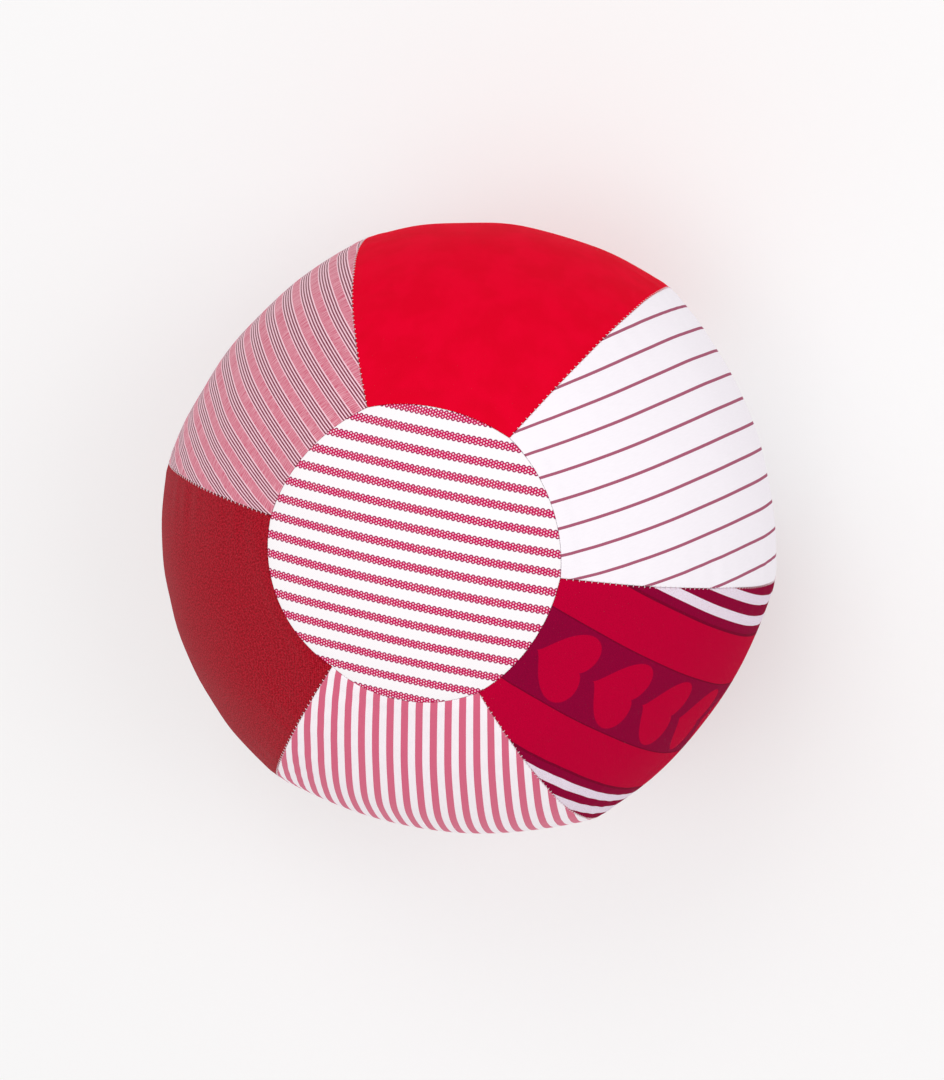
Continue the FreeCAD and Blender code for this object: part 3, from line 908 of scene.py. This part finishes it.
CLOTH_SPECULAR = 0.03
SHEEN_ROUGHNESS = 0.5
ROUGHNESS_SPREAD = 0.1
ROUGHNESS_GRAIN = 3.0


def cloth_material(name, pattern, roughness=0.9, sheen=0.0, bump=0.5, depth=0.12 * MM):
    """A fabric. pattern(cloth) returns its colour socket and the height of its weave."""
    material, tree, shader = new_material(name)
    cloth = Cloth(tree)
    colour, height = pattern(cloth)
    tree.links.new(colour, shader.inputs["Base Color"])
    relief = tree.nodes.new("ShaderNodeBump")
    relief.inputs["Strength"].default_value = bump
    relief.inputs["Distance"].default_value = depth
    tree.links.new(height.socket, relief.inputs["Height"])
    tree.links.new(relief.outputs[0], shader.inputs["Normal"])
    grain = cloth.noise(ROUGHNESS_GRAIN, ROUGHNESS_GRAIN)
    uneven = grain * ROUGHNESS_SPREAD + (roughness - ROUGHNESS_SPREAD / 2.0)
    tree.links.new(uneven.socket, shader.inputs["Roughness"])
    shader.inputs["Specular IOR Level"].default_value = CLOTH_SPECULAR
    shader.inputs["Sheen Weight"].default_value = sheen
    shader.inputs["Sheen Roughness"].default_value = SHEEN_ROUGHNESS
    return material


# ---- The fabrics ---------------------------------------------------------------------------
#
# Lengths here are in millimetres on the flat cloth.

CAP_WHITE = linear(248, 244, 246)
CAP_STRIPE_TURN = math.radians(-10.85)
BAND_PITCH = 7.03
BAND_EDGE = (0.9, 1.6)
DOT_PITCH = 1.98
DOT_RIM = (0.16, 0.38)
NET_RIM = (0.74, 0.88)
ROW_PITCH = 0.58


def honeycomb_stripe(cloth):
    """White cotton with bands of four staggered rows of pale dots in a pink net."""
    cosine, sine = math.cos(CAP_STRIPE_TURN), math.sin(CAP_STRIPE_TURN)
    half_dot, half_row = DOT_PITCH / 2.0, ROW_PITCH / 2.0
    s = cloth.x * cosine + cloth.y * sine
    t = (cloth.y * cosine - cloth.x * sine + BAND_PITCH / 2.0).centred(BAND_PITCH)
    first = length_of(s.centred(DOT_PITCH), (t + half_row).size() - ROW_PITCH)
    second = length_of((s + half_dot).centred(DOT_PITCH), (t - half_row).size() - ROW_PITCH)
    nearest = first.math("MINIMUM", second)
    edge = t.size().rise(*BAND_EDGE)
    pink = mix(cloth.tree, edge, linear(196, 20, 86), linear(132, 36, 86))
    pink = shade(cloth.tree, pink, cloth.noise(0.5, 0.5) * 0.3 + 0.85)
    pale = cloth.noise(2.0, 2.0).rise(0.4, 0.6)
    dot = mix(cloth.tree, pale, linear(250, 190, 214), linear(255, 236, 244))
    net = mix(cloth.tree, nearest.rise(*DOT_RIM), dot, pink)
    colour = mix(cloth.tree, nearest.rise(*NET_RIM), net, CAP_WHITE)
    return colour, cloth.plain_weave(0.45) + cloth.noise(0.8, 0.8) * 0.5


TWILL_PITCH = 0.95


def red_denim(cloth):
    """Heathered dark red twill with paler flecks along its diagonal."""
    diagonal = cloth.x + cloth.y
    flecks = cloth.noise(0.35, 0.9) * cloth.twill(TWILL_PITCH)
    grain = cloth.noise(0.8, 0.8, 4.0)
    base = mix(cloth.tree, grain.rise(0.36, 0.64), linear(134, 0, 18), linear(178, 16, 38))
    colour = mix(cloth.tree, flecks.rise(0.4, 0.7), base, linear(182, 54, 68))
    return colour, diagonal.wave(TWILL_PITCH) * 0.5 + grain


TICKING_PERIOD = 5.9


def ticking_stripe(cloth):
    """White cotton with even rose stripes, each with fine paler threads in it."""
    bands = [(0.0, linear(216, 100, 130)), (TICKING_PERIOD / 2.0, linear(250, 242, 247))]
    plain = stripes(cloth.tree, cloth.from_thread(-4.3, 5.7, 0.0) + 1.48, TICKING_PERIOD, bands)
    threads = cloth.noise(0.16, 6.0) * 0.16 + 0.92
    return shade(cloth.tree, plain, threads), cloth.plain_weave(0.4) + cloth.noise(0.3, 5.0) * 0.4


PINSTRIPE_PERIOD = 10.9
PINSTRIPE_WIDTH = 1.2


def white_pinstripe(cloth):
    """Smooth white cotton with thin mauve stripes."""
    bands = [(0.0, linear(168, 92, 116)), (PINSTRIPE_WIDTH, linear(247, 242, 248))]
    place = cloth.from_thread(-0.1, -6.4, 6.4) + PINSTRIPE_WIDTH / 2.0
    plain = stripes(cloth.tree, place, PINSTRIPE_PERIOD, bands)
    slub = cloth.noise(0.5, 4.0) * 0.05 + 0.975
    return shade(cloth.tree, plain, slub), cloth.plain_weave(0.35) * 0.6 + cloth.noise(0.4, 3.0) * 0.4


def plain_red(cloth):
    """Smooth bright red cotton."""
    tone = cloth.noise(14.0, 14.0)
    plain = mix(cloth.tree, tone.rise(0.3, 0.7), linear(220, 0, 36), linear(227, 0, 41))
    threads = cloth.noise(0.3, 0.3) * 0.1 + 0.95
    return shade(cloth.tree, plain, threads), cloth.plain_weave(0.38) + cloth.noise(0.5, 0.5) * 0.3


FINE_PERIOD = 9.0
FINE_PITCH = 1.2
FINE_LINES = 4
FINE_LINE_START = 0.55
FINE_BAND_START = 0.45
FINE_BAND_MIDDLE = 7.1
FINE_BAND_EDGE = (2.2, 1.8)


def fine_stripe(cloth):
    """Rose chambray: bands with slubs across them, between groups of four fine dark lines."""
    place = cloth.from_thread(-2.4, 9.5, -4.4)
    pale, dark, rose = linear(248, 206, 218), linear(124, 46, 68), linear(202, 96, 120)
    bands = []
    for line in range(FINE_LINES):
        start = line * FINE_PITCH
        bands += [(start, pale), (start + FINE_LINE_START, dark)]
    start = FINE_LINES * FINE_PITCH
    bands += [(start, pale), (start + FINE_BAND_START, rose)]
    plain = stripes(cloth.tree, place, FINE_PERIOD, bands)
    from_middle = (place - FINE_BAND_MIDDLE).centred(FINE_PERIOD).size()
    in_band = from_middle.rise(*FINE_BAND_EDGE) * 0.42 + 0.08
    slub = cloth.noise(9.0, 0.34, 1.0).rise(0.4, 0.6)
    colour = mix(cloth.tree, slub * in_band, plain, linear(246, 192, 204))
    beads = cloth.y.wave(0.9) * 0.07 + 1.0
    return shade(cloth.tree, colour, beads), cloth.plain_weave(0.4) + cloth.noise(4.0, 0.4) * 0.6


HEART_PITCH = 29.0
HEART_MIDDLE = 16.0
HEART_WIDE = 15.3
HEART_TALL = 10.8
HEART_LIFT = 0.78
HEART_ASIDE = 0.2
HEART_UP = 0.175
HEART_RIM = (1.04, 0.96)


def heart_shape(cloth):
    """1 inside a heart, 0 outside: a disc bent upwards on both sides of its middle. Its point
    is towards the front cap."""
    end = GORE_RUN / MM
    u = ((cloth.x + HEART_ASIDE) / HEART_WIDE).size()
    v = (cloth.y - end + HEART_MIDDLE).centred(HEART_PITCH) / -HEART_TALL + HEART_UP
    bent = v - u.math("POWER", 2.0 / 3.0) * HEART_LIFT
    return (u * u + bent * bent).rise(*HEART_RIM)


TOWEL_HALF = 75.0


def heart_towel(cloth):
    """Woven towelling: a maroon band of crimson hearts between crimson bands, and white
    stripes in maroon towards the seams."""
    crimson, maroon = linear(192, 0, 52), linear(142, 4, 54)
    dark, white = linear(124, 4, 44), linear(240, 226, 240)
    starts = ((-TOWEL_HALF, maroon), (-55.7, white), (-51.5, maroon), (-47.0, white), (-42.8, maroon),
              (-39.3, dark), (-38.5, crimson), (-18.0, dark), (-17.1, maroon), (16.6, dark),
              (17.5, crimson), (38.6, dark), (39.4, maroon), (42.9, white), (47.4, maroon),
              (51.9, white), (55.8, maroon))
    bands = [(start + TOWEL_HALF, colour) for start, colour in starts]
    woven = stripes(cloth.tree, cloth.x + TOWEL_HALF, 2.0 * TOWEL_HALF, bands)
    specks = cloth.noise(0.6, 0.6).rise(0.6, 0.75) * 0.3
    colour = mix(cloth.tree, heart_shape(cloth), mix(cloth.tree, specks, woven, crimson), crimson)
    pile = cloth.noise(0.45, 0.45, 3.0)
    return shade(cloth.tree, colour, pile * 0.4 + 0.8), pile * 1.5


def sewing_thread(cloth):
    """Twisted white cotton thread."""
    twist = (cloth.x * 4.0 + cloth.y * 3.0).wave(1.0)
    shadow = mix(cloth.tree, twist.rise(-1.0, 0.6), linear(214, 186, 194), linear(244, 228, 233))
    return shadow, twist


def latex_material():
    """Blown-up pale latex, thin and slightly glossy."""
    material, tree, shader = new_material("balloon latex")
    cloudy = tree.nodes.new("ShaderNodeTexNoise")
    cloudy.inputs["Scale"].default_value = 30.0
    place = tree.nodes.new("ShaderNodeNewGeometry")
    tree.links.new(place.outputs["Position"], cloudy.inputs["Vector"])
    share = Term(tree, cloudy.outputs[0]).rise(0.3, 0.7)
    colour = mix(tree, share, linear(226, 218, 206), linear(238, 232, 222))
    tree.links.new(colour, shader.inputs["Base Color"])
    shader.inputs["Roughness"].default_value = 0.28
    shader.inputs["Subsurface Weight"].default_value = 0.15
    shader.inputs["Subsurface Radius"].default_value = (0.004, 0.003, 0.002)
    shader.inputs["Coat Weight"].default_value = 0.3
    return material


# ---- Stage ---------------------------------------------------------------------------------

FLOOR_COLOUR = (0.68, 0.68, 0.68)
FLOOR_GLOW = 0.26
FLOOR_SIZE = 6.0


def floor_material():
    """A plain pale floor with one side, so that the ball's underside can be seen from below."""
    material, tree, shader = new_material("floor")
    shader.inputs["Base Color"].default_value = FLOOR_COLOUR + (1.0,)
    shader.inputs["Emission Color"].default_value = (1.0, 1.0, 1.0, 1.0)
    shader.inputs["Emission Strength"].default_value = FLOOR_GLOW
    shader.inputs["Roughness"].default_value = 0.9
    shader.inputs["Specular IOR Level"].default_value = 0.0
    clear = tree.nodes.new("ShaderNodeBsdfTransparent")
    either = tree.nodes.new("ShaderNodeMixShader")
    side = tree.nodes.new("ShaderNodeNewGeometry")
    tree.links.new(side.outputs["Backfacing"], either.inputs[0])
    tree.links.new(shader.outputs[0], either.inputs[1])
    tree.links.new(clear.outputs[0], either.inputs[2])
    tree.links.new(either.outputs[0], tree.nodes["Material Output"].inputs["Surface"])
    return material


def make_floor():
    """The floor that the ball rests on."""
    half = FLOOR_SIZE / 2.0
    corners = np.array(((-half, -half, 0.0), (half, -half, 0.0), (half, half, 0.0), (-half, half, 0.0)))
    floor = make_object("floor", corners, [(0, 1, 2, 3)])
    floor.data.materials.append(floor_material())


LAMP_DISTANCE = 2.0
AMBIENT = 0.74

# Each lamp's azimuth, its tilt off the vertical, its power and its size.
LAMPS = ((10.0, 36.0, 4.9, 0.8),
         (100.0, 32.0, 4.7, 0.8),
         (180.0, 10.0, 3.0, 0.7),
         (270.0, 10.0, 2.8, 0.7))


def make_lamp(azimuth, tilt, power, size):
    """A soft square lamp above the ball, tilted off the vertical towards an azimuth."""
    light = bpy.data.lights.new("lamp", "AREA")
    light.energy = power
    light.size = size
    lamp = bpy.data.objects.new("lamp", light)
    bpy.context.scene.collection.objects.link(lamp)
    target = Vector((0.0, 0.0, CENTRE))
    a, b = math.radians(azimuth), math.radians(tilt)
    away = Vector((math.sin(b) * math.cos(a), math.sin(b) * math.sin(a), math.cos(b)))
    lamp.location = target + away * LAMP_DISTANCE
    lamp.rotation_mode = "QUATERNION"
    lamp.rotation_quaternion = away.to_track_quat("Z", "Y")


def make_surroundings():
    """Even light from all round."""
    world = bpy.data.worlds.new("studio")
    world.use_nodes = True
    background = world.node_tree.nodes["Background"]
    background.inputs["Color"].default_value = (1.0, 0.99, 0.99, 1.0)
    background.inputs["Strength"].default_value = AMBIENT
    bpy.context.scene.world = world
    bpy.context.scene.view_settings.view_transform = "Standard"


CAMERA_DISTANCE = 1.034
CAMERA_LENS = 83.5
CAMERA_FILM = 36.0
CAMERA_SHIFT = (0.0018, -0.011)
POLE_LEAN = math.radians(11.6)
POLE_LEAN_TOWARDS = math.radians(-155.4)


def make_camera():
    """A camera almost over the front cap, which leans away to the lower left in its view."""
    data = bpy.data.cameras.new("camera")
    data.lens = CAMERA_LENS
    data.sensor_width = CAMERA_FILM
    data.shift_x, data.shift_y = CAMERA_SHIFT
    camera = bpy.data.objects.new("camera", data)
    bpy.context.scene.collection.objects.link(camera)
    axis = Vector((-math.sin(POLE_LEAN_TOWARDS), math.cos(POLE_LEAN_TOWARDS), 0.0))
    turn = Matrix.Rotation(-POLE_LEAN, 4, axis)
    away = turn @ Vector((0.0, 0.0, CAMERA_DISTANCE))
    camera.matrix_world = Matrix.Translation(Vector((0.0, 0.0, CENTRE)) + away) @ turn
    bpy.context.scene.camera = camera


# ---- The whole scene -----------------------------------------------------------------------

def wear(piece, material):
    """Gives a piece its material."""
    piece.data.materials.clear()
    piece.data.materials.append(material)


def make_cover():
    """Every piece of cloth, in its own fabric."""
    fabrics = (("red_denim", cloth_material("red denim", red_denim, 0.92, 0.07, 0.7)),
               ("ticking_stripe", cloth_material("ticking", ticking_stripe, 0.9, 0.15)),
               ("heart_jacquard", cloth_material("heart towelling", heart_towel, 0.95, 0.0, 0.8, 0.3 * MM)),
               ("white_pinstripe", cloth_material("white pinstripe", white_pinstripe)),
               ("plain_red", cloth_material("plain red", plain_red, 0.85, 0.0, 0.4)),
               ("fine_stripe_chambray", cloth_material("fine stripe", fine_stripe, 0.9, 0.2)))
    for gore, (slot, material) in enumerate(fabrics):
        wear(gore_sheet(gore), material)
    honeycomb = cloth_material("honeycomb stripe", honeycomb_stripe)
    for piece in (front_cap_sheet(), flap_sheet(), under_sheet()):
        wear(piece, honeycomb)


def make_stitches():
    """Every row of stitches."""
    thread = cloth_material("sewing thread", sewing_thread, 0.8, 0.0, 0.3)
    for index in range(SEAMS):
        wear(seam_stitches(index), thread)
    for end in (1, -1):
        wear(cap_stitches(end), thread)
    for piece in (flap_hem_row(), mouth_hem_row(), corner_tacks()):
        wear(piece, thread)


def make_balloon():
    """The balloon keeps its CAD shape."""
    latex = latex_material()
    for name in ("balloon_skin", "balloon_neck_knot"):
        wear(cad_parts[name], latex)


make_cover()
make_stitches()
make_balloon()
make_floor()
for lamp in LAMPS:
    make_lamp(*lamp)
make_surroundings()
make_camera()
